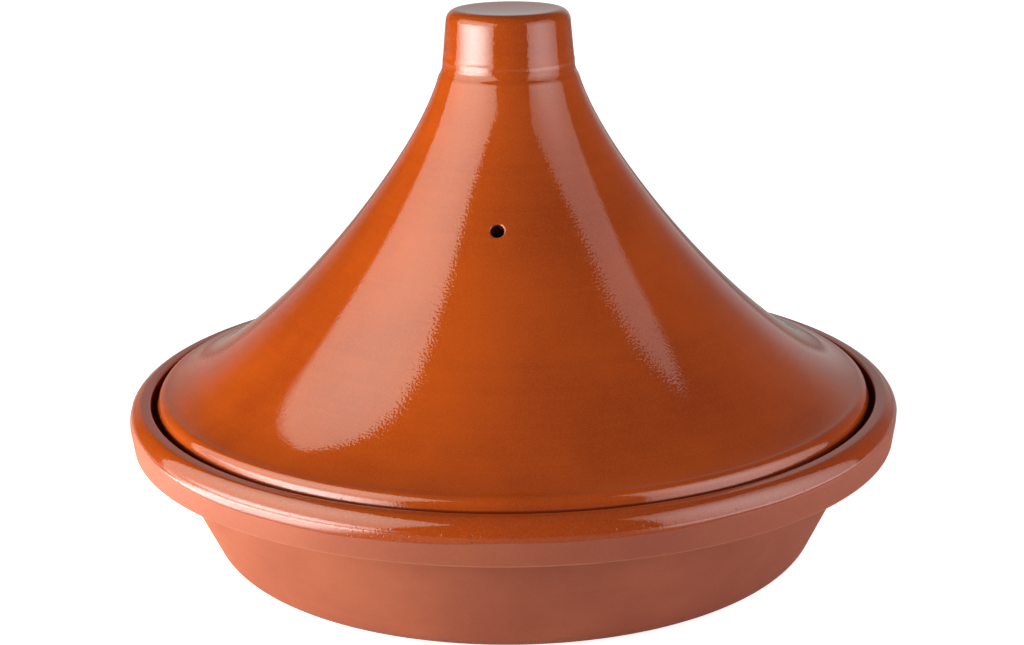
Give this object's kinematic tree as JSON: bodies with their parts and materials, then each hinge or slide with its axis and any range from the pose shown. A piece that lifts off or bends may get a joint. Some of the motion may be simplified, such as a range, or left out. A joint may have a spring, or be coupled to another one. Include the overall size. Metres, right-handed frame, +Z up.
{
  "type": "tagine pot",
  "caption": "Round earthenware tagine: a shallow cooking dish with a heavy rim, and a tall conical lid with a knob that drops onto a seat inside the rim.",
  "frame": {"origin": "centre of the dish's foot, on the plane of the table it stands on", "axes": "+Z up along the axis both pieces were turned on; the steam vent in the lid faces -Y, which is the front"},
  "size_m": [0.32, 0.32, 0.2227],
  "materials": {
    "terracotta": "bare fired red clay, matt and slightly grainy",
    "honey_glaze": "glossy transparent honey-brown glaze over red clay"
  },
  "bodies": {
    "dish": {"dish": "terracotta"},
    "lid": {"lid": "honey_glaze"}
  },
  "joints": [
    {"name": "lid_lift", "type": "slide", "parent": "dish", "child": "lid", "axis": [0, 0, 1], "range_m": [0, 0.16]}
  ]
}
